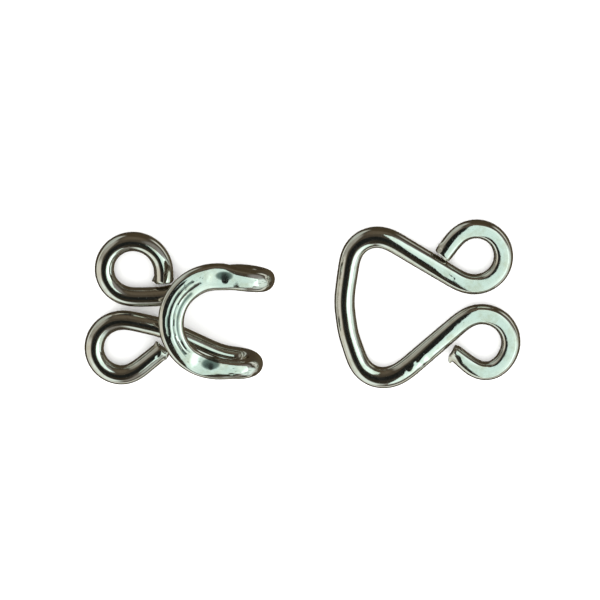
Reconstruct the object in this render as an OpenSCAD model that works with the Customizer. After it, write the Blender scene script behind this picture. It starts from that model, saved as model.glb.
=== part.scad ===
// Hook and eye clasp for a coat: two halves, each bent from one length of round wire.
// Both halves lie flat, hook on the left, eye on the right, a short way apart.

/* [Wire] */
// thickness of the round wire
wire_d = 1.75; // [1.4:0.05:1.95]
// share of the thickness left across a sheared wire end
cut_share = 0.84; // [0.7:0.02:0.98]

/* [Hook] */
// bend radius of the bill's round crown, at the middle of the wire
bill_r = 4.1; // [3.6:0.1:5]
// width of the flattened crown
bill_w = 2.4; // [1.9:0.05:2.8]
// thickness of the flattened crown
bill_t = 1.3; // [1:0.05:1.6]
// slope of the crown away from the shanks, in degrees
bill_rise = 6; // [3:1:10]
// clear height between bill and shanks at the prongs
throat_h = 1.85; // [1.6:0.05:2.4]
// straight length of each shank between its two bends
shank_l = 3.4; // [3:0.1:4.4]
// bend radius of the hook's sewing loops, at the middle of the wire
hook_loop_r = 2.7; // [2.55:0.05:2.85]

/* [Eye] */
// length of the bar between its two corner bends
bar_l = 9.8; // [9.2:0.1:11.6]
// sideways bow of the bar, as its bend radius
bar_bow_r = 7.6; // [6.6:0.2:12]
// bend radius of the two corners
corner_r = 2.3; // [1.8:0.1:2.7]
// straight length of each side between corner and loop
side_l = 7.8; // [7.4:0.1:9.4]
// bend radius of the eye's sewing loops, at the middle of the wire
eye_loop_r = 2.6; // [2.3:0.05:2.75]

/* [Layout] */
// clear distance between the two halves
pair_gap = 5.4; // [3:0.1:12]
// turn of the hook on the table, in degrees
hook_turn = -6; // [-12:1:0]
// turn of the eye on the table, in degrees
eye_turn = 6; // [0:1:12]
// how far the middle of the bar lies up the table from the tip of the bill
eye_y = -0.8; // [-2:0.1:2]

/* [Hidden] */

sides = 22;
bend_step = 9;
round_e = 2;
flat_e = 2.7;
prong_r = (throat_h + wire_d) / 2;
arm_climb = 4;

// Row of a bend table: straight run, bend radius, turn to the left seen from above, nose rise,
// lean of the bend's axis, then the section at the row's end: width, height, squareness.
hook_upper = [
    [0, bill_r * 1.01, -46, 0, bill_rise, bill_w * 1.07, bill_t, flat_e],
    [0, bill_r * 1.01, -46, 0, bill_rise, bill_w * 1.06, bill_t, flat_e],
    [0, bill_r * 1.8, 0, bill_rise + arm_climb, 0, wire_d * 1.1, wire_d * 0.94, round_e],
    [bill_r * 0.22, prong_r, 0, -180 - arm_climb, -6, wire_d, wire_d, round_e],
    [shank_l * 0.24, shank_l * 1.6, 29.5, 0, 0, wire_d, wire_d, round_e],
    [shank_l, shank_l * 1.6, -8, 0, 0, wire_d, wire_d, round_e],
    [hook_loop_r, hook_loop_r, -190, 0, 0, wire_d, wire_d, round_e],
    [0, hook_loop_r, -94, 0, 0, wire_d, wire_d, round_e],
    [hook_loop_r * 0.18, 0, 0, 0, 0, wire_d, wire_d, round_e],
    [wire_d * 0.12, 0, 0, 0, 0, wire_d * cut_share, wire_d * 0.92, round_e],
];
function hook_lower(prong) = [
    [0, bill_r * 1.11, 46, 0, bill_rise, bill_w * 0.9, bill_t * 1.06, flat_e],
    [0, bill_r * 1.11, 47, 0, bill_rise, bill_w * 0.84, bill_t * 1.14, flat_e],
    [0, bill_r * 1.8, 0, bill_rise + arm_climb, 0, wire_d * 1.03, wire_d * 0.97, round_e],
    [bill_r * 0.05, prong, 0, -180 - arm_climb, 6, wire_d, wire_d, round_e],
    [0, shank_l * 1.1, -8.5, 0, 0, wire_d, wire_d, round_e],
    [shank_l * 0.49, shank_l * 1.1, -15.5, 0, 0, wire_d, wire_d, round_e],
    [shank_l, shank_l * 1.6, 7, 0, 0, wire_d, wire_d, round_e],
    [hook_loop_r * 1.03, hook_loop_r, 170, 0, 0, wire_d, wire_d, round_e],
    [0, hook_loop_r * 0.85, 70, 0, 0, wire_d, wire_d, round_e],
    [hook_loop_r, 0, 0, 0, 0, wire_d, wire_d, round_e],
    [wire_d * 0.12, 0, 0, 0, 0, wire_d * cut_share, wire_d * 0.92, round_e],
];
eye_upper = [
    [0, bar_bow_r, -16, 0, 0, wire_d, wire_d, round_e],
    [bar_l * 0.33, corner_r, -108, 0, 0, wire_d * 1.04, wire_d * 0.97, round_e],
    [side_l * 0.5, 0, 0, 0, 0, wire_d * 1.1, wire_d * 0.93, round_e],
    [side_l * 0.5, eye_loop_r, 130, 0, 0, wire_d, wire_d * 0.97, round_e],
    [0, eye_loop_r * 0.97, 132, 0, 0, wire_d, wire_d * 0.95, round_e],
    [eye_loop_r * 0.58, 0, 0, 0, 0, wire_d, wire_d, round_e],
    [wire_d * 0.12, 0, 0, 0, 0, wire_d * cut_share, wire_d * 0.92, round_e],
];
eye_lower = [
    [0, bar_bow_r, 10, 0, 0, wire_d, wire_d, round_e],
    [bar_l * 0.32, corner_r * 0.96, 89, 0, 0, wire_d * 1.05, wire_d * 0.97, round_e],
    [side_l * 0.12, corner_r * 2.1, 26, 0, 0, wire_d * 1.14, wire_d * 0.92, round_e],
    [side_l * 0.5, 0, 0, 0, 0, wire_d * 1.1, wire_d * 0.94, round_e],
    [side_l * 0.27, eye_loop_r, -140, 0, 0, wire_d, wire_d * 0.97, round_e],
    [0, eye_loop_r * 0.98, -122, 0, 0, wire_d, wire_d * 0.95, round_e],
    [eye_loop_r * 0.64, 0, 0, 0, 0, wire_d * 0.92, wire_d * 0.95, round_e],
    [wire_d * 0.12, 0, 0, 0, 0, wire_d * cut_share * 0.94, wire_d * 0.9, round_e],
];

function unit(v) = v / norm(v);

// vector v turned by the angle a about the axis k
function spun(v, k, a) = v * cos(a) + cross(k, v) * sin(a) + k * (k * v) * (1 - cos(a));

// axis a row bends about, for a wire that heads along h
function bend_axis(h, row) =
    row[2] != 0
    ? [sin(row[4]), 0, cos(row[4])]
    : let (flat = unit(cross([0, 0, 1], h)))
      -flat * cos(row[4]) - cross(h, flat) * sin(row[4]);

// section part way through a row
function blend(pose, row, share) =
    [for (i = [0:2]) pose[3][i] + (row[5 + i] - pose[3][i]) * share];

// places along one row, each with its point, heading, side direction and section
function stretch(pose, row) =
    let (
        p = pose[0],
        h = row[2] != 0 && row[4] == 0 ? unit([pose[1][0], pose[1][1], 0]) : pose[1],
        n = pose[2],
        run = row[0],
        angle = row[2] + row[3],
        arc = abs(angle) * PI / 180 * row[1],
        total = run + arc,
        q = p + h * run,
        k = bend_axis(h, row),
        side = cross(k, h) * row[1] * sign(angle),
        steps = ceil(abs(angle) / bend_step)
    )
    concat(
        run > 0 ? [[q, h, n, blend(pose, row, run / total)]] : [],
        angle != 0
        ? [for (i = [1:steps]) let (a = angle * i / steps)
            [q + side - spun(side, k, a), spun(h, k, a), spun(n, k, a),
             blend(pose, row, (run + arc * i / steps) / total)]]
        : []
    );

// all places from one starting place through a whole table
function walk(pose, rows, i = 0) =
    i == len(rows)
    ? []
    : let (part = stretch(pose, rows[i]))
      concat(part, walk(part[len(part) - 1], rows, i + 1));

function last(list) = list[len(list) - 1];
function backwards(list) = [for (i = [len(list) - 1:-1:0]) list[i]];

// closed outline of the wire at one place; way is -1 on the stretch walked backwards
function ring(pose, way) =
    let (n = pose[2] * way, b = cross(pose[1], pose[2]), s = pose[3], e = 2 / s[2])
    [for (i = [0:sides - 1]) let (c = cos(360 * i / sides), d = sin(360 * i / sides))
        pose[0] + n * s[0] / 2 * sign(c) * pow(abs(c), e) + b * s[1] / 2 * sign(d) * pow(abs(d), e)];

// outlines of one wire from the end of the first arm, over the start, to the end of the second
function outlines(first, start, second) = concat(
    [for (pose = backwards(first)) ring(pose, -1)],
    [ring(start, 1)],
    [for (pose = second) ring(pose, 1)]
);

// outlines turned on the table by the angle t
function turned(rings, t) =
    [for (r = rings) [for (p = r) [p[0] * cos(t) - p[1] * sin(t), p[0] * sin(t) + p[1] * cos(t), p[2]]]];
function low(rings, k) = min([for (r = rings) min([for (p = r) p[k]])]);
function high(rings, k) = max([for (r = rings) max([for (p = r) p[k]])]);

// closed skin over a run of outlines
module wire(rings) {
    m = len(rings);
    points = [for (r = rings) each r];
    skin = [for (j = [0:m - 2], i = [0:sides - 1]) let (
        a = j * sides + i,
        b = j * sides + (i + 1) % sides)
        each [[a, b, b + sides], [a, b + sides, a + sides]]];
    near = [for (i = [1:sides - 2]) [0, i + 1, i]];
    far = [for (i = [1:sides - 2]) [0, i, i + 1] + (m - 1) * sides * [1, 1, 1]];
    polyhedron(points, concat(skin, near, far), convexity = 10);
}

// the hook's walk starts at the tip of the bill, the eye's at the middle of the bar
tip_section = [bill_w, bill_t, flat_e];
tip_up = [[0, 0, 0], [0, 1, 0], [-cos(bill_rise), 0, sin(bill_rise)], tip_section];
tip_down = [[0, 0, 0], [0, -1, 0], [cos(bill_rise), 0, -sin(bill_rise)], tip_section];
bar_section = [wire_d, wire_d, round_e];
bar_up = [[0, 0, 0], [0, 1, 0], [-1, 0, 0], bar_section];
bar_down = [[0, 0, 0], [0, -1, 0], [1, 0, 0], bar_section];

// the lower prong is bent by the hair that lets both shanks lie flat
hook_drop = last(walk(tip_up, hook_upper))[0][2];
drop_left = last(walk(tip_down, hook_lower(prong_r)))[0][2] - hook_drop;
hook_rings = turned(
    outlines(
        walk(tip_up, hook_upper),
        tip_down,
        walk(tip_down, hook_lower(prong_r + drop_left / 2))
    ),
    hook_turn
);
eye_rings = turned(outlines(walk(bar_up, eye_upper), bar_down, walk(bar_down, eye_lower)), eye_turn);

// both halves about the middle of the pair
hook_x = -high(hook_rings, 0);
eye_x = pair_gap - low(eye_rings, 0);
mid_x = (low(hook_rings, 0) + hook_x + high(eye_rings, 0) + eye_x) / 2;
mid_y = (max(high(hook_rings, 1), high(eye_rings, 1) + eye_y)
    + min(low(hook_rings, 1), low(eye_rings, 1) + eye_y)) / 2;

module hook() {
    color([0.62, 0.61, 0.57])
        translate([hook_x - mid_x, -mid_y, -low(hook_rings, 2)])
            wire(hook_rings);
}

module eye() {
    color([0.62, 0.61, 0.57])
        translate([eye_x - mid_x, eye_y - mid_y, -low(eye_rings, 2)])
            wire(eye_rings);
}

hook();
eye();
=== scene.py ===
import math
import random

import bpy
from mathutils import Matrix, Vector


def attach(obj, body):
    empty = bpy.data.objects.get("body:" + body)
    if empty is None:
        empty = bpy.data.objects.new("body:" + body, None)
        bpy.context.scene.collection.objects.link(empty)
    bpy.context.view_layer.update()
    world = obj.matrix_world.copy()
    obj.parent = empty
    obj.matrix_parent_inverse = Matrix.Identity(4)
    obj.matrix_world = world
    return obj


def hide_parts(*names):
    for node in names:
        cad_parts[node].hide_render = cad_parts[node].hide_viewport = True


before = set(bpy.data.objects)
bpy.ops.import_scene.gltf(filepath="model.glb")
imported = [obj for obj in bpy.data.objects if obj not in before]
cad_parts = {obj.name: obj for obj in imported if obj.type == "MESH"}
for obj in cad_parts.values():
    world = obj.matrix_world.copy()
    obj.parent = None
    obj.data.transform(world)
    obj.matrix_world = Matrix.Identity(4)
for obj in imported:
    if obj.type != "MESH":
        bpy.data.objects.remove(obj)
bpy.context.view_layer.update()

# The hook is one length of round nickel-plated wire. Its middle is coined flat and bent into a
# round crown, each arm dips and turns under into a prong, and the shanks below spread apart
# and close into two sewing loops with plainly sheared ends.
mm = 0.001
wire_d = 1.75 * mm
bill_r = 4.1 * mm
bill_w = 2.4 * mm
bill_t = 1.6 * mm
bill_rise = 6
arm_climb = 6
prong_r = 1.705 * mm
lower_prong_r = 1.655 * mm
shank_l = 3.4 * mm
hook_loop_r = 2.7 * mm
hook_turn = -6
hook_place = (-12.114 * mm, -0.276 * mm)
round_wire = (wire_d * 1.02, wire_d * 1.02)

# Row of a bend table: straight run, bend radius, turn to the left seen from above, nose rise,
# lean of the bend's axis, then the wire's width and height where the row ends. Angles are in
# degrees.
hook_upper = [
    (0, bill_r * 1.01, -46, 0, bill_rise, bill_w * 1.07, bill_t),
    (0, bill_r * 1.01, -46, 0, bill_rise, bill_w * 1.06, bill_t),
    (0, bill_r * 1.5, 0, bill_rise + arm_climb, 0, wire_d * 1.27, wire_d * 0.94),
    (bill_r * 0.22, prong_r, 0, -180 - arm_climb, -5.4, *round_wire),
    (0, shank_l * 1.6, 31, 0, 0, *round_wire),
    (shank_l * 1.08, shank_l * 1.6, -21, 0, 0, *round_wire),
    (hook_loop_r * 0.82, hook_loop_r * 0.97, -201, 0, 0, *round_wire),
    (0, hook_loop_r * 1.08, -74.5, 0, 0, *round_wire),
    (hook_loop_r * 0.2, 0, 0, 0, 0, wire_d, wire_d),
]
hook_lower = [
    (0, bill_r * 1.11, 46, 0, bill_rise, bill_w * 0.92, bill_t * 1.04),
    (0, bill_r * 1.11, 47, 0, bill_rise, bill_w * 0.86, bill_t * 1.1),
    (0, bill_r * 1.5, 0, bill_rise + arm_climb, 0, wire_d * 1.05, wire_d * 0.97),
    (bill_r * 0.05, lower_prong_r, 0, -180 - arm_climb, 6, *round_wire),
    (0, shank_l * 1.1, -5, 0, 0, *round_wire),
    (shank_l * 0.11, shank_l * 1.1, -18, 0, 0, *round_wire),
    (shank_l * 1.43, shank_l * 1.6, 12.3, 0, 0, *round_wire),
    (hook_loop_r * 0.955, hook_loop_r * 0.965, 183, 0, 0, *round_wire),
    (0, hook_loop_r * 0.8, 50, 0, 0, *round_wire),
    (hook_loop_r * 1.1, 0, 0, 0, 0, wire_d * 0.98, wire_d),
]

wire_sides = 60
wire_step = 0.18 * mm
# a bend is eased in over this much wire on either side
bend_ease = 1.0 * mm
# how hard a wire that has reached the table is pulled level
level_pull = 3
# a bend of fewer radians, or a slope below this, counts as none
least_bend = 0.001


def bend_marks(heading, size, rows):
    """Length, turn so far and section at the end of each run and bend, and where the wire lands."""
    length = 0
    landed = None
    turned = Vector((0, 0, 0))
    marks = [(length, turned, size)]
    for run, radius, turn, rise, lean, width, height in rows:
        if turn and not lean:
            if landed is None and abs(heading.z) > least_bend:
                landed = length
            heading = Vector((heading.x, heading.y, 0)).normalized()
        lean = math.radians(lean)
        angle = math.radians(turn + rise)
        arc = abs(angle) * radius
        if turn:
            axis = Vector((math.sin(lean), 0, math.cos(lean)))
        else:
            level = Vector((0, 0, 1)).cross(heading).normalized()
            axis = -level * math.cos(lean) - heading.cross(level) * math.sin(lean)
        if run:
            share = run / (run + arc)
            part_way = (size[0] + (width - size[0]) * share, size[1] + (height - size[1]) * share)
            length += run
            marks.append((length, turned, part_way))
        if arc:
            length += arc
            turned = turned + axis * angle
            marks.append((length, turned, (width, height)))
            heading = Matrix.Rotation(angle, 3, axis) @ heading
        size = (width, height)
    return marks, landed


def between_marks(marks, length):
    """Turn so far and section at one length, where the first bend also runs on behind the start."""
    i = 1
    while i < len(marks) - 1 and marks[i][0] < length:
        i += 1
    near, turn_a, size_a = marks[i - 1]
    far, turn_b, size_b = marks[i]
    share = min((length - near) / (far - near), 1)
    turned = turn_a + (turn_b - turn_a) * share
    share = max(share, 0)
    width = size_a[0] + (size_b[0] - size_a[0]) * share
    height = size_a[1] + (size_b[1] - size_a[1]) * share
    return turned, (width, height)


def start_wire(name, side, size):
    """Stands one outline, 1 m across, at the world's middle and presses it to the wire's size."""
    heading = Vector((0, -1, 0))
    up = heading.cross(side)
    bpy.ops.object.select_all(action="DESELECT")
    bpy.ops.mesh.primitive_circle_add(
        vertices=wire_sides,
        radius=0.5,
        rotation=Matrix((side, up, heading)).transposed().to_euler(),
    )
    piece = bpy.context.object
    piece.name = name
    bpy.ops.object.transform_apply(location=True, rotation=True, scale=True)
    bpy.ops.object.mode_set(mode="EDIT")
    bpy.ops.mesh.select_mode(type="EDGE")
    bpy.ops.mesh.select_all(action="SELECT")
    press_outline(Vector((0, 0, 0)), heading, side, (1, 1), size)
    return piece


def press_outline(at, heading, side, old, new):
    """Widens or flattens the selected outline from its old section to the new one."""
    bpy.ops.transform.resize(
        value=(new[0] / old[0], new[1] / old[1], 1),
        orient_type="GLOBAL",
        orient_matrix=(tuple(side), tuple(heading.cross(side)), tuple(heading)),
        orient_matrix_type="GLOBAL",
        center_override=at,
    )


def draw_wire(heading, side, size, rows):
    """Draws the selected outline along a bend table, each bend eased in over a little wire."""
    marks, landed = bend_marks(heading, size, rows)
    at = Vector((0, 0, 0))
    owed = Vector((0, 0, 0))
    places = [(at, heading, side, 0)]
    steps = math.ceil(marks[-1][0] / wire_step)
    pace = marks[-1][0] / steps
    for step in range(steps):
        middle = (step + 0.5) * pace
        ahead = between_marks(marks, middle + bend_ease)[0]
        behind = between_marks(marks, middle - bend_ease)[0]
        bend = owed + (ahead - behind) * pace / (2 * bend_ease)
        if landed is not None and middle > landed:
            flat = Vector((heading.x, heading.y, 0)).normalized()
            bend = bend + heading.cross(flat) * level_pull * pace / bend_ease
        angle = bend.length
        if angle > least_bend:
            owed = Vector((0, 0, 0))
            axis = bend / angle
            centre = at + axis.cross(heading) * pace / angle
            bpy.ops.mesh.spin(steps=1, angle=-angle, center=centre, axis=axis)
            turned = Matrix.Rotation(angle, 3, axis)
            at = centre + turned @ (at - centre)
            slip = axis * heading.dot(axis) * pace
            if slip.length > least_bend * pace:
                bpy.ops.transform.translate(value=slip)
                at = at + slip
            heading = turned @ heading
            side = turned @ side
        else:
            owed = bend
            bpy.ops.mesh.extrude_edges_move(TRANSFORM_OT_translate={"value": heading * pace})
            at = at + heading * pace
        new = between_marks(marks, (step + 1) * pace)[1]
        press_outline(at, heading, side, size, new)
        size = new
        places.append((at, heading, side, (step + 1) * pace))
    return places


def pick(piece, wanted):
    """Selects the points with these numbers and nothing else, and goes on in edit mode."""
    bpy.ops.object.mode_set(mode="EDIT")
    bpy.ops.mesh.select_mode(type="VERT")
    bpy.ops.mesh.select_all(action="DESELECT")
    bpy.ops.object.mode_set(mode="OBJECT")
    for i in wanted:
        piece.data.vertices[i].select = True
    bpy.ops.object.mode_set(mode="EDIT")


def bend_both_arms(name, side, size, lower, upper):
    """Draws a whole wire from its middle, and lists each arm's outlines by number and place."""
    piece = start_wire(name, side, size)
    first_arm = draw_wire(Vector((0, -1, 0)), side, size, lower)
    pick(piece, range(wire_sides))
    bpy.ops.mesh.select_mode(type="EDGE")
    second_arm = draw_wire(Vector((0, 1, 0)), -side, size, upper)
    bpy.ops.object.mode_set(mode="OBJECT")
    lower_rings = list(enumerate(first_arm))
    upper_rings = list(enumerate(second_arm, len(first_arm) - 1))[1:]
    # Drawing leaves lines along the wire, so every point keeps its place round and along it.
    piece.data.attributes.new("drawn", "FLOAT_VECTOR", "POINT")
    # The second attribute marks grooves, dents, creases and patches of the arms that get painted
    # shade in their colour and a rougher finish.
    piece.data.attributes.new("painted_shade_and_wear", "FLOAT", "POINT")
    drawn = piece.data.attributes["drawn"]
    across = wire_d / 2
    for rings, way in ((lower_rings, 1), (upper_rings, -1)):
        for ring, (at, heading, side, length) in rings:
            for i in range(ring * wire_sides, (ring + 1) * wire_sides):
                away = piece.data.vertices[i].co - at
                round_it = math.atan2(away.dot(heading.cross(side)), away.dot(side) * way)
                x = math.cos(round_it) * across
                y = math.sin(round_it) * across
                drawn.data[i].vector = (x, y, length * way)
    return piece, lower_rings, upper_rings


# how far each step of the shoulder runs on, and the share of the wire's width it leaves
shoulder = ((0.10 * mm, 0.97), (0.07 * mm, 0.91), (0.05 * mm, 0.84))
# the sheared face's raised rim and dished middle: how wide, and how far out
cut_rim = (0.1 * mm, 0.02 * mm)
cut_dish = (0.15 * mm, -0.03 * mm)


def shear_end(piece, end, tilt):
    """Finishes one end as the cutter leaves it: a rounded shoulder and a slanted face."""
    ring, place = end
    at, heading, side = place[:3]
    first = ring * wire_sides
    pick(piece, range(first, first + wire_sides))
    bpy.ops.mesh.select_mode(type="EDGE")
    size = (1, 1)
    for ahead, smaller in shoulder:
        bpy.ops.mesh.extrude_edges_move(TRANSFORM_OT_translate={"value": heading * ahead})
        at = at + heading * ahead
        press_outline(at, heading, side, size, (smaller, smaller))
        size = (smaller, smaller)
    bpy.ops.transform.rotate(
        value=-math.radians(tilt),
        orient_axis="Z",
        orient_type="GLOBAL",
        center_override=at,
    )
    bpy.ops.mesh.edge_face_add()
    bpy.ops.object.mode_set(mode="OBJECT")
    # the sheared face takes the second material, whose dull brown is painted shade
    for face in piece.data.polygons:
        if face.select:
            face.material_index = 1
    bpy.ops.object.mode_set(mode="EDIT")
    for wide, out in (cut_rim, cut_dish):
        bpy.ops.mesh.inset(thickness=wide, depth=out, use_even_offset=False)
    bpy.ops.mesh.poke()
    bpy.ops.object.mode_set(mode="OBJECT")


def coin(piece, rings, none, whole, plane, squeeze, faces):
    """Presses the wire flat past a plane, not at all at one length and wholly at another."""
    groups = [[]]
    for pair in rings:
        fade = (pair[1][3] - none) / (whole - none)
        if fade >= 1:
            groups[0].append(pair)
        elif fade > 0:
            groups.append([pair])
    for group in groups:
        at, heading, side, length = group[-1][1]
        fade = min((length - none) / (whole - none), 1)
        for face in faces:
            up = heading.cross(side) * face
            wanted = []
            for ring, place in group:
                for i in range(ring * wire_sides, (ring + 1) * wire_sides):
                    if (piece.data.vertices[i].co - place[0]).dot(up) > plane:
                        wanted.append(i)
            pick(piece, wanted)
            bpy.ops.transform.resize(
                value=(1, 1, 1 - (1 - squeeze) * fade),
                orient_type="GLOBAL",
                orient_matrix=(tuple(side), tuple(heading), tuple(up)),
                orient_matrix_type="GLOBAL",
                center_override=at + up * plane,
            )
            bpy.ops.object.mode_set(mode="OBJECT")


def at_angle(piece, ring, angle):
    """Number of the point of an outline that lies nearest to an angle round the wire."""
    drawn = piece.data.attributes["drawn"].data
    towards = Vector((math.cos(math.radians(angle)), math.sin(math.radians(angle)), 0))
    choice = range(ring * wire_sides, (ring + 1) * wire_sides)
    return max(choice, key=lambda i: drawn[i].vector.xy.dot(towards.xy))


# a groove's section: how many degrees aside, and the share of its depth there
groove_section = ((0, 1.0), (-6, 0.6), (6, 0.6))
# share of its depth that a groove keeps where it is shallowest
shallowest = 0.55


def score(piece, rings, angle, first, last, depth, longest):
    """Scores one groove along the wire between two lengths, deeper here and shallower there."""
    rings = [pair for pair in rings if first <= pair[1][3] <= last]
    k = 0
    while k < len(rings):
        chunk = rings[k:k + dice.randint(2, longest)]
        k += len(chunk)
        deep = depth * dice.uniform(shallowest, 1.0)
        for aside, share in groove_section:
            numbers = [at_angle(piece, ring, angle + aside) for ring, place in chunk]
            # the groove's points are marked for painted shade in their colour and a rougher finish
            for i in numbers:
                mark = piece.data.attributes["painted_shade_and_wear"].data[i]
                mark.value = max(mark.value, share * deep / depth)
            heading, side = chunk[len(chunk) // 2][1][1:3]
            pick(piece, numbers)
            bpy.ops.transform.translate(value=-heading.cross(side) * deep * share)
            bpy.ops.object.mode_set(mode="OBJECT")


def dent(piece, i, push, reach):
    """Pushes one point of the wire and what lies within reach of it."""
    pick(piece, [i])
    bpy.ops.transform.translate(
        value=push,
        use_proportional_edit=True,
        use_proportional_connected=True,
        proportional_edit_falloff="SMOOTH",
        proportional_size=reach,
    )
    bpy.ops.object.mode_set(mode="OBJECT")


# how strongly a crease or burr near an end gets painted shade and a rougher finish
half_shade_and_wear = 0.5


def squeeze_end(piece, end, marks):
    """Leaves creases and burrs near an end: how far back, on which side, push and reach, in mm."""
    ring = end[0]
    for back, towards, push, reach in marks:
        near = ring - round(back * mm / wire_step)
        numbers = range(near * wire_sides, (near + 1) * wire_sides)
        middle = sum((piece.data.vertices[i].co for i in numbers), Vector()) / wire_sides
        i = max(numbers, key=lambda i: (piece.data.vertices[i].co - middle).dot(Vector(towards)))
        dent(piece, i, Vector(push) * mm, reach * mm)
        # each crease and burr is darkened as painted shade, and roughened
        piece.data.attributes["painted_shade_and_wear"].data[i].value = half_shade_and_wear


def facet(piece, rings, none, whole, lean, plane, squeeze):
    """Presses a leaning facet near an end: none and whole are how far back it fades in."""
    end = rings[-1][1][3]
    leaning = []
    for ring, (at, heading, side, length) in rings:
        leant = Matrix.Rotation(math.radians(lean), 3, heading) @ side
        leaning.append((ring, (at, heading, leant, length)))
    coin(piece, leaning, end - none, end - whole, plane, squeeze, (1,))


# least and most of a small mark: shares of the depth that it goes out, width in mm, and the painted
# shade and wear it gets
mark_push = (-1, 0.5)
mark_reach = (0.18, 0.34)
mark_shade_and_wear = (0.2, 0.7)


def rumple(piece, rings, first, last, angles, count, depth):
    """Scatters small dents and bumps over the top of the wire between two lengths."""
    rings = [pair for pair in rings if first <= pair[1][3] <= last]
    for k in range(count):
        ring, place = dice.choice(rings)
        i = at_angle(piece, ring, dice.uniform(*angles))
        out = (piece.data.vertices[i].co - place[0]).normalized()
        push = out * depth * dice.uniform(*mark_push)
        dent(piece, i, push, dice.uniform(*mark_reach) * mm)
        # each mark is darkened as painted shade, and roughened
        piece.data.attributes["painted_shade_and_wear"].data[i].value = dice.uniform(*mark_shade_and_wear)


# faces that meet at more than this stay a sharp edge
crease_angle = 48


def set_down(piece, turn, place):
    """Turns a finished wire on the table and lays it at its place."""
    bpy.ops.object.mode_set(mode="OBJECT")
    bpy.ops.object.select_all(action="DESELECT")
    piece.select_set(True)
    bpy.context.view_layer.objects.active = piece
    piece.rotation_euler = (0, 0, math.radians(turn))
    bpy.ops.object.transform_apply(location=True, rotation=True, scale=True)
    lowest = min(point.co.z for point in piece.data.vertices)
    piece.location = (place[0], place[1], -lowest)
    bpy.ops.object.transform_apply(location=True, rotation=True, scale=True)
    bpy.ops.object.mode_set(mode="EDIT")
    bpy.ops.mesh.select_all(action="SELECT")
    bpy.ops.mesh.normals_make_consistent(inside=False)
    bpy.ops.object.mode_set(mode="OBJECT")
    bpy.ops.object.shade_smooth_by_angle(angle=math.radians(crease_angle))


def dimple(piece, marks):
    """Presses dimples into the top, in mm: where on the table, how high, how deep, how wide."""
    for x, y, z, deep, reach in marks:
        at = Vector((x, y, z)) * mm
        numbers = range(len(piece.data.vertices))
        i = min(numbers, key=lambda i: (piece.data.vertices[i].co - at).length)
        dent(piece, i, Vector((0, 0, -deep)) * mm, reach * mm)


# the arms stand above this height, and the shanks below it
arm_height = 3.5 * mm


def darken(piece, marks):
    """Paints dark reflections onto patches of the arms: where on the table, how far along x and y,
    how strongly.
    """
    for x, y, far_x, far_y, strength in marks:
        for i, point in enumerate(piece.data.vertices):
            off = ((point.co.x / mm - x) / far_x) ** 2 + ((point.co.y / mm - y) / far_y) ** 2
            if off < 1 and point.co.z > arm_height:
                mark = piece.data.attributes["painted_shade_and_wear"].data[i]
                mark.value = max(mark.value, strength * (1 - off * off))


tip_side = Vector((math.cos(math.radians(bill_rise)), 0, -math.sin(math.radians(bill_rise))))
tip = (bill_w, bill_t)
hook, hook_down, hook_up = bend_both_arms("hook_wire", tip_side, tip, hook_lower, hook_upper)
dice = random.Random(4)
coin(hook, hook_down, none=11.6 * mm, whole=6.6 * mm, plane=0.55 * mm, squeeze=0.4, faces=(1, -1))
coin(hook, hook_up, none=11.8 * mm, whole=6.4 * mm, plane=0.55 * mm, squeeze=0.4, faces=(1, -1))
for angle, upwards, downwards, depth, longest in (
    (114, 4.1 * mm, 1.6 * mm, 0.045 * mm, 4),
    (84, 4.6 * mm, 3.8 * mm, 0.07 * mm, 12),
    (56, 3.4 * mm, 4.0 * mm, 0.065 * mm, 12),
):
    score(hook, hook_up, angle, 0, upwards, depth, longest)
    score(hook, hook_down, angle, 0, downwards, depth, longest)
for rings, first, last, angles, count, depth in (
    (hook_up, 3.0 * mm, 5.2 * mm, (80, 130), 12, 0.03 * mm),
    (hook_up, 9.2 * mm, 11.2 * mm, (60, 130), 26, 0.045 * mm),
    (hook_down, 8.6 * mm, 10.6 * mm, (60, 130), 26, 0.045 * mm),
    (hook_down, 3.5 * mm, 6.5 * mm, (60, 120), 10, 0.02 * mm),
):
    rumple(hook, rings, first, last, angles, count, depth)
facet(hook, hook_down, none=0.9 * mm, whole=0.3 * mm, lean=32, plane=0.5 * mm, squeeze=0.25)
facet(hook, hook_down, none=0.7 * mm, whole=0.1 * mm, lean=-28, plane=0.62 * mm, squeeze=0.3)
shear_end(hook, hook_down[-1], tilt=14)
squeeze_end(hook, hook_down[-1], (
    (0.0, (-0.6, 0.8, 0.2), (-0.08, 0.26, 0.02), 0.34),
    (0.1, (0.7, -0.7, 0.5), (0.05, -0.08, 0.06), 0.3),
    (0.45, (0.1, 0.1, 1), (0, 0, -0.06), 0.25),
))
facet(hook, hook_up, none=2.4 * mm, whole=0.3 * mm, lean=-32, plane=0.5 * mm, squeeze=0.3)
shear_end(hook, hook_up[-1], tilt=12)
squeeze_end(hook, hook_up[-1], (
    (0.0, (-1, -0.3, 0), (-0.2, -0.16, 0), 0.36),
    (0.5, (0.2, 0, 1), (0, 0, -0.05), 0.22),
    (0.2, (0.9, 0, 0.4), (0.10, 0.02, 0), 0.35),
))
set_down(hook, hook_turn, hook_place)
dimple(hook, (
    (-7.95, 3.6, 5.3, 0.15, 1.3),
    (-9.35, -4.7, 5.3, 0.18, 1.35),
    (-7.7, -4.9, 5.2, -0.05, 0.9),
))
# painted dark reflections on the arms, over the dimples
darken(hook, (
    (-7.25, 3.65, 0.95, 0.5, 1.0),
    (-8.5, -4.7, 1.0, 0.62, 1.0),
    (-9.3, -4.3, 0.8, 0.4, 0.35),
))


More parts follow.
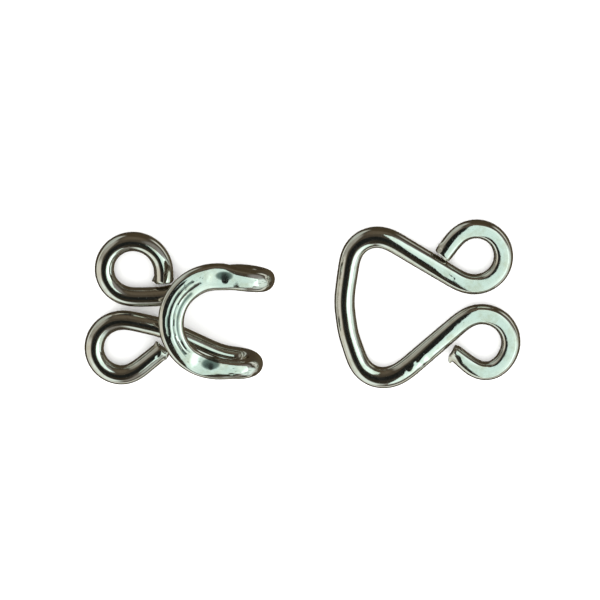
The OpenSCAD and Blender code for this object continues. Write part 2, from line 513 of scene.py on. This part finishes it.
# nickel where it is clean, tarnished, dull along a drawing line, pitted, and dark green where shade
# and dark reflections are painted into grooves, dents, creases and patches of the arms
clean_nickel = (0.63, 0.61, 0.57)
tarnished_nickel = (0.44, 0.38, 0.28)
dull_nickel = (0.50, 0.48, 0.44)
pit_brown = (0.20, 0.17, 0.12)
painted_shade_green = (0.06, 0.085, 0.075)
nickel_rim = (0.75, 0.68, 0.58, 1)
# how far each wire's pattern is moved along x and y, and how far its lines are drawn out along
# the wire, where less is longer
pattern_shift = (0.013, 0.007)
line_stretch = 0.03


def nickel(name, seed):
    """Bright nickel over drawn wire: long drawing lines, a slight waviness, tarnish, and marks that
    are rougher and carry painted shade in dark green.
    """
    made = bpy.data.materials.new(name)
    made.use_nodes = True
    nodes = made.node_tree.nodes
    links = made.node_tree.links
    shader = nodes["Principled BSDF"]
    shader.inputs["Metallic"].default_value = 1
    shader.inputs["Specular Tint"].default_value = nickel_rim

    def noise(source, scale, detail, rough=0.5):
        """A cloudy pattern with so many waves to a metre."""
        made_noise = nodes.new("ShaderNodeTexNoise")
        made_noise.inputs["Scale"].default_value = scale
        made_noise.inputs["Detail"].default_value = detail
        made_noise.inputs["Roughness"].default_value = rough
        links.new(source, made_noise.inputs["Vector"])
        return made_noise.outputs["Fac"]

    def ramp(value, low, high, to_low, to_high):
        """Turns low to high into to_low to to_high, with soft ends."""
        stretch = nodes.new("ShaderNodeMapRange")
        stretch.interpolation_type = "SMOOTHSTEP"
        links.new(value, stretch.inputs["Value"])
        stretch.inputs["From Min"].default_value = low
        stretch.inputs["From Max"].default_value = high
        stretch.inputs["To Min"].default_value = to_low
        stretch.inputs["To Max"].default_value = to_high
        return stretch.outputs["Result"]

    def both(operation, a, b):
        """Adds or multiplies a value and another value or number."""
        sum_up = nodes.new("ShaderNodeMath")
        sum_up.operation = operation
        links.new(a, sum_up.inputs[0])
        if isinstance(b, (int, float)):
            sum_up.inputs[1].default_value = b
        else:
            links.new(b, sum_up.inputs[1])
        return sum_up.outputs["Value"]

    def blend(share, under, over):
        """Lays one colour over another, as strongly as share says."""
        mix = nodes.new("ShaderNodeMix")
        mix.data_type = "RGBA"
        links.new(share, mix.inputs["Factor"])
        for socket, colour in (("A", under), ("B", over)):
            if isinstance(colour, tuple):
                mix.inputs[socket].default_value = (*colour, 1)
            else:
                links.new(colour, mix.inputs[socket])
        return mix.outputs["Result"]

    place = nodes.new("ShaderNodeTexCoord").outputs["Object"]
    shift = nodes.new("ShaderNodeMapping")
    shift.inputs["Location"].default_value = (seed * pattern_shift[0], seed * pattern_shift[1], 0)
    links.new(place, shift.inputs["Vector"])
    place = shift.outputs["Vector"]
    along = nodes.new("ShaderNodeAttribute")
    along.attribute_name = "drawn"
    stretched = nodes.new("ShaderNodeMapping")
    stretched.inputs["Scale"].default_value = (1, 1, line_stretch)
    links.new(along.outputs["Vector"], stretched.inputs["Vector"])
    painted_shade_and_wear = nodes.new("ShaderNodeAttribute")
    painted_shade_and_wear.attribute_name = "painted_shade_and_wear"
    painted_shade_and_wear = painted_shade_and_wear.outputs["Fac"]

    # drawing lines 0.06 mm wide, dull blotches 1 mm wide, and pinholes
    drawing_lines = noise(stretched.outputs["Vector"], scale=16000, detail=3, rough=0.6)
    blotches = noise(place, scale=900, detail=5, rough=0.6)
    waves = noise(place, scale=700, detail=2)
    specks = noise(place, scale=7000, detail=3, rough=0.7)
    tarnish = ramp(blotches, 0.42, 0.70, 0, 0.5)
    pinholes = ramp(specks, 0.66, 0.74, 0, 1)
    dullness = ramp(drawing_lines, 0.35, 0.75, 0, 0.35)
    pits = both("MULTIPLY", pinholes, 0.6)
    # painted shade: the marked grooves, dents, creases and patches of the arms turn dark green
    painted_shade_share = ramp(painted_shade_and_wear, 0.1, 0.9, 0, 0.9)
    colour = blend(tarnish, clean_nickel, tarnished_nickel)
    colour = blend(dullness, colour, dull_nickel)
    colour = blend(pits, colour, pit_brown)
    colour = blend(painted_shade_share, colour, painted_shade_green)
    links.new(colour, shader.inputs["Base Color"])

    rough_lines = ramp(drawing_lines, 0.3, 0.8, 0.03, 0.09)
    rough_blotches = ramp(blotches, 0.45, 0.75, 0.005, 0.07)
    rough_wear = both("MULTIPLY", painted_shade_and_wear, 0.15)
    roughness = both("ADD", both("ADD", rough_lines, rough_blotches), rough_wear)
    links.new(roughness, shader.inputs["Roughness"])

    relief = None
    for height, distance in (
        (waves, 0.012 * mm),
        (drawing_lines, 0.0014 * mm),
        (pinholes, -0.002 * mm),
    ):
        bump = nodes.new("ShaderNodeBump")
        bump.inputs["Strength"].default_value = 1
        bump.inputs["Distance"].default_value = distance
        links.new(height, bump.inputs["Height"])
        if relief:
            links.new(relief, bump.inputs["Normal"])
        relief = bump.outputs["Normal"]
    links.new(relief, shader.inputs["Normal"])
    return made


# the sheared face's dark and bright grain, both kept brown as painted shade
cut_dark = (0.16, 0.13, 0.09, 1)
cut_bright = (0.42, 0.38, 0.31, 1)


def cut_metal(name):
    """The face where the wire was sheared: dull brown as painted shade, with the cutter's fine
    scratches.
    """
    made = bpy.data.materials.new(name)
    made.use_nodes = True
    nodes = made.node_tree.nodes
    links = made.node_tree.links
    shader = nodes["Principled BSDF"]
    shader.inputs["Metallic"].default_value = 1
    place = nodes.new("ShaderNodeTexCoord").outputs["Object"]
    scratches = nodes.new("ShaderNodeMapping")
    scratches.inputs["Scale"].default_value = (1, 1, 0.12)
    links.new(place, scratches.inputs["Vector"])
    grain = nodes.new("ShaderNodeTexNoise")
    grain.inputs["Scale"].default_value = 12000
    grain.inputs["Detail"].default_value = 4
    links.new(scratches.outputs["Vector"], grain.inputs["Vector"])
    colour = nodes.new("ShaderNodeMix")
    colour.data_type = "RGBA"
    colour.inputs["A"].default_value = cut_dark
    colour.inputs["B"].default_value = cut_bright
    links.new(grain.outputs["Fac"], colour.inputs["Factor"])
    links.new(colour.outputs["Result"], shader.inputs["Base Color"])
    rough = nodes.new("ShaderNodeMapRange")
    rough.inputs["To Min"].default_value = 0.22
    rough.inputs["To Max"].default_value = 0.45
    links.new(grain.outputs["Fac"], rough.inputs["Value"])
    links.new(rough.outputs["Result"], shader.inputs["Roughness"])
    bump = nodes.new("ShaderNodeBump")
    bump.inputs["Distance"].default_value = 0.006 * mm
    links.new(grain.outputs["Fac"], bump.inputs["Height"])
    links.new(bump.outputs["Normal"], shader.inputs["Normal"])
    return made


cut_end = cut_metal("cut_end")
hook.data.materials.append(nickel("hook_nickel", 1))
hook.data.materials.append(cut_end)
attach(hook, "root")
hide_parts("hook")

# The eye is a second length of the same wire. A bowed bar is bent back at two corners, its
# sides close into two sewing loops, and a press has flattened their tops.
bar_l = 9.8 * mm
bar_bow_r = 7.6 * mm
corner_r = 2.3 * mm
side_l = 7.8 * mm
eye_loop_r = 2.6 * mm
eye_turn = 6.75
eye_place = (3.88 * mm, -0.889 * mm)
bar_wire = (wire_d * 1.07, wire_d)
corner_wire = (wire_d * 1.15, wire_d * 0.97)
side_wire = (wire_d * 1.13, wire_d * 0.95)
eye_upper = [
    (0, bar_bow_r * 1.12, -15, 0, 0, *bar_wire),
    (bar_l * 0.29, corner_r * 1.08, -113.5, 0, 0, *corner_wire),
    (side_l * 0.5, 0, 0, 0, 0, *side_wire),
    (side_l * 0.43, eye_loop_r * 1.03, 162.5, 0, 0, wire_d, wire_d * 0.97),
    (0, eye_loop_r * 0.93, 103.5, 0, 0, wire_d, wire_d * 0.95),
    (eye_loop_r * 0.66, 0, 0, 0, 0, wire_d * 0.96, wire_d * 0.95),
]
eye_lower = [
    (bar_l * 0.12, bar_bow_r * 0.94, 11.8, 0, 0, *bar_wire),
    (bar_l * 0.21, corner_r * 1.06, 94.6, 0, 0, *corner_wire),
    (side_l * 0.02, corner_r * 1.65, 18.5, 0, 0, *corner_wire),
    (side_l * 0.5, 0, 0, 0, 0, *side_wire),
    (side_l * 0.38, eye_loop_r * 1.02, -166.7, 0, 0, wire_d, wire_d * 0.97),
    (eye_loop_r * 0.22, eye_loop_r * 0.7, -95.2, 0, 0, wire_d * 0.98, wire_d * 0.95),
    (eye_loop_r * 0.82, 0, 0, 0, 0, wire_d * 0.86, wire_d * 0.9),
]
bar_side = Vector((1, 0, 0))
eye, eye_down, eye_up = bend_both_arms("eye_wire", bar_side, bar_wire, eye_lower, eye_upper)
for rings in (eye_down, eye_up):
    coin(eye, rings, none=11.5 * mm, whole=16.5 * mm, plane=0.68 * mm, squeeze=0.4, faces=(1,))
facet(eye, eye_down, none=0.9 * mm, whole=0.2 * mm, lean=-35, plane=0.55 * mm, squeeze=0.3)
shear_end(eye, eye_down[-1], tilt=18)
squeeze_end(eye, eye_down[-1], (
    (0.0, (-0.7, -0.7, -0.1), (-0.10, -0.42, -0.02), 0.36),
    (0.1, (-0.2, -0.9, 0.3), (0.0, -0.12, 0.05), 0.22),
    (0.1, (0.2, 1, 0.2), (-0.02, 0.14, 0.02), 0.26),
    (0.35, (-0.2, -0.2, 1), (0, 0, -0.06), 0.25),
))
shear_end(eye, eye_up[-1], tilt=-15)
squeeze_end(eye, eye_up[-1], (
    (0.5, (-1, 0.3, 0.3), (-0.12, 0.05, 0), 0.3),
    (0.15, (-0.6, 0.4, 0.8), (0.04, -0.03, -0.1), 0.3),
    (0.0, (-0.4, -0.8, 0.2), (-0.12, -0.14, 0), 0.34),
    (0.7, (-0.5, 0.3, 0.8), (0, 0, -0.06), 0.22),
))
set_down(eye, eye_turn, eye_place)
dimple(eye, (
    (12.8, 3.15, 1.7, 0.05, 0.20),
    (13.1, 2.9, 1.7, 0.04, 0.16),
    (13.45, 2.85, 1.7, 0.06, 0.20),
    (13.3, 3.05, 1.7, 0.04, 0.15),
    (12.5, 3.35, 1.7, 0.03, 0.16),
    (13.75, 2.6, 1.7, 0.04, 0.18),
    (10.5, -5.35, 1.7, 0.07, 0.30),
    (10.75, -5.6, 1.7, 0.08, 0.30),
    (11.0, -5.8, 1.6, 0.06, 0.30),
    (11.5, -5.0, 1.7, 0.05, 0.45),
    (9.6, -6.2, 1.7, 0.05, 0.5),
))
eye.data.materials.append(nickel("eye_nickel", 2))
eye.data.materials.append(cut_end)
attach(eye, "root")
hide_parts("eye")

# The table is plain pale card, lit evenly from all round. The metal reflects another light: a
# dim brown room with a pale ring at the horizon and soft patches round about, and one large
# mint panel close over each half. The camera looks down on both halves, as in the photo.
table_size = 3.0
card_colour = (0.93, 0.93, 0.925, 1)
bpy.ops.object.select_all(action="DESELECT")
bpy.ops.mesh.primitive_plane_add(size=table_size)
table = bpy.context.object
table.name = "table"
card = bpy.data.materials.new("pale_card")
card.use_nodes = True
card_shader = card.node_tree.nodes["Principled BSDF"]
card_shader.inputs["Base Color"].default_value = card_colour
card_shader.inputs["Roughness"].default_value = 0.9
card_shader.inputs["Specular IOR Level"].default_value = 0
table.data.materials.append(card)
table.visible_glossy = False

room = bpy.data.worlds.new("room")
bpy.context.scene.world = room
room.use_nodes = True
tree = room.node_tree
seen_in_metal = tree.nodes["Background"]
direction = tree.nodes.new("ShaderNodeTexCoord").outputs["Generated"]
room_brown = (0.085, 0.071, 0.05)
ring_white = (1.0, 1.06, 0.97)


def lay_over(under, colour, share):
    """Lays a colour over the light so far, as strongly as share says."""
    mix = tree.nodes.new("ShaderNodeMix")
    mix.data_type = "RGBA"
    tree.links.new(share, mix.inputs["Factor"])
    if isinstance(under, tuple):
        mix.inputs["A"].default_value = (*under, 1)
    else:
        tree.links.new(under, mix.inputs["A"])
    mix.inputs["B"].default_value = (*colour, 1)
    return mix.outputs["Result"]


def soft_edge(nearness, none, whole):
    """Fades a light in from none at one angle off its middle to whole at another."""
    edge = tree.nodes.new("ShaderNodeMapRange")
    edge.interpolation_type = "SMOOTHSTEP"
    edge.inputs["From Min"].default_value = math.cos(math.radians(none))
    edge.inputs["From Max"].default_value = math.cos(math.radians(whole))
    tree.links.new(nearness, edge.inputs["Value"])
    return edge.outputs["Result"]


def ring_of_light(under, colour, low, high, soft):
    """Adds a ring of light between two tilts from overhead, all the way round the room."""
    height = tree.nodes.new("ShaderNodeSeparateXYZ")
    tree.links.new(direction, height.inputs["Vector"])
    between = tree.nodes.new("ShaderNodeMath")
    between.operation = "MULTIPLY"
    tree.links.new(soft_edge(height.outputs["Z"], low - soft, low + soft), between.inputs[0])
    tree.links.new(soft_edge(height.outputs["Z"], high + soft, high - soft), between.inputs[1])
    return lay_over(under, colour, between.outputs["Value"])


def glow(under, colour, azimuth, tilt, inner, outer):
    """Adds one soft round patch of light to the room, at an azimuth and a tilt from overhead."""
    a = math.radians(azimuth)
    t = math.radians(tilt)
    middle = (math.cos(a) * math.sin(t), math.sin(a) * math.sin(t), math.cos(t))
    near = tree.nodes.new("ShaderNodeVectorMath")
    near.operation = "DOT_PRODUCT"
    near.inputs[1].default_value = middle
    tree.links.new(direction, near.inputs[0])
    return lay_over(under, colour, soft_edge(near.outputs["Value"], outer, inner))


light_so_far = ring_of_light(room_brown, ring_white, low=90, high=108, soft=5)
for colour, azimuth, tilt, inner, outer in (
    ((0.042, 0.034, 0.021), 0, 180, 3, 7),
    ((0.92, 0.92, 0.82), 198, 70, 15, 33),
    ((0.13, 0.11, 0.075), 350, 140, 25, 55),
    ((0.46, 0.46, 0.40), 150, 68, 14, 32),
    ((0.34, 0.34, 0.33), 20, 45, 15, 35),
    ((0.30, 0.29, 0.26), 285, 50, 15, 32),
    ((0.15, 0.125, 0.085), 88, 60, 12, 32),
    ((1.10, 1.34, 1.28), 335, 62, 18, 38),
    ((1.15, 1.32, 1.24), 240, 68, 16, 33),
    ((0.65, 0.72, 0.66), 135, 98, 12, 28),
    ((0.085, 0.066, 0.038), 80, 100, 20, 36),
    ((0.038, 0.031, 0.019), 258, 38, 11, 24),
    ((0.013, 0.015, 0.013), 205, 13, 15, 27),
):
    light_so_far = glow(light_so_far, colour, azimuth, tilt, inner, outer)
tree.links.new(light_so_far, seen_in_metal.inputs["Color"])
paper_strength = 2.2
paper = tree.nodes.new("ShaderNodeBackground")
paper.inputs["Color"].default_value = (1, 1, 1, 1)
paper.inputs["Strength"].default_value = paper_strength
ray = tree.nodes.new("ShaderNodeLightPath")
metal_or_paper = tree.nodes.new("ShaderNodeMixShader")
tree.links.new(ray.outputs["Is Glossy Ray"], metal_or_paper.inputs["Fac"])
tree.links.new(paper.outputs["Background"], metal_or_paper.inputs[1])
tree.links.new(seen_in_metal.outputs["Background"], metal_or_paper.inputs[2])
tree.links.new(metal_or_paper.outputs["Shader"], tree.nodes["World Output"].inputs["Surface"])

panel_height = 25
panel_mint = (0.74, 1.0, 0.95)


def panel(name, low, high, strength, lights_up):
    """A soft panel facing down, between two corners in mm, that one half alone reflects."""
    light = bpy.data.lights.new(name, "AREA")
    light.shape = "RECTANGLE"
    light.size = (high[0] - low[0]) * mm
    light.size_y = (high[1] - low[1]) * mm
    light.color = panel_mint
    light.energy = strength * light.size * light.size_y * math.pi
    lamp = bpy.data.objects.new(name, light)
    lamp.location = ((low[0] + high[0]) / 2 * mm, (low[1] + high[1]) / 2 * mm, panel_height * mm)
    lamp.visible_camera = False
    lamp.visible_diffuse = False
    bpy.context.scene.collection.objects.link(lamp)
    group = bpy.data.collections.new(name)
    group.objects.link(lights_up)
    lamp.light_linking.receiver_collection = group


panel("eye_panel", (12.8, -60), (38, 25), 1.3, eye)
panel("hook_panel", (-10.8, -20), (20, 8), 1.25, hook)

photo_pixels = 600
mm_to_a_pixel = 0.092
camera_lean = math.radians(14.5)
camera_distance = 0.25
camera_sees = (0.01, 10)
looks_at = Vector((-0.276, 0.067, 0)) * mm
lens = bpy.data.cameras.new("camera")
lens.type = "ORTHO"
lens.ortho_scale = photo_pixels * mm_to_a_pixel * mm
lens.clip_start, lens.clip_end = camera_sees
camera = bpy.data.objects.new("camera", lens)
backwards = Vector((0, math.sin(camera_lean), math.cos(camera_lean)))
camera.location = looks_at + backwards * camera_distance
camera.rotation_euler = (-camera_lean, 0, 0)
bpy.context.scene.collection.objects.link(camera)
bpy.context.scene.camera = camera
bpy.context.scene.view_settings.view_transform = "Standard"
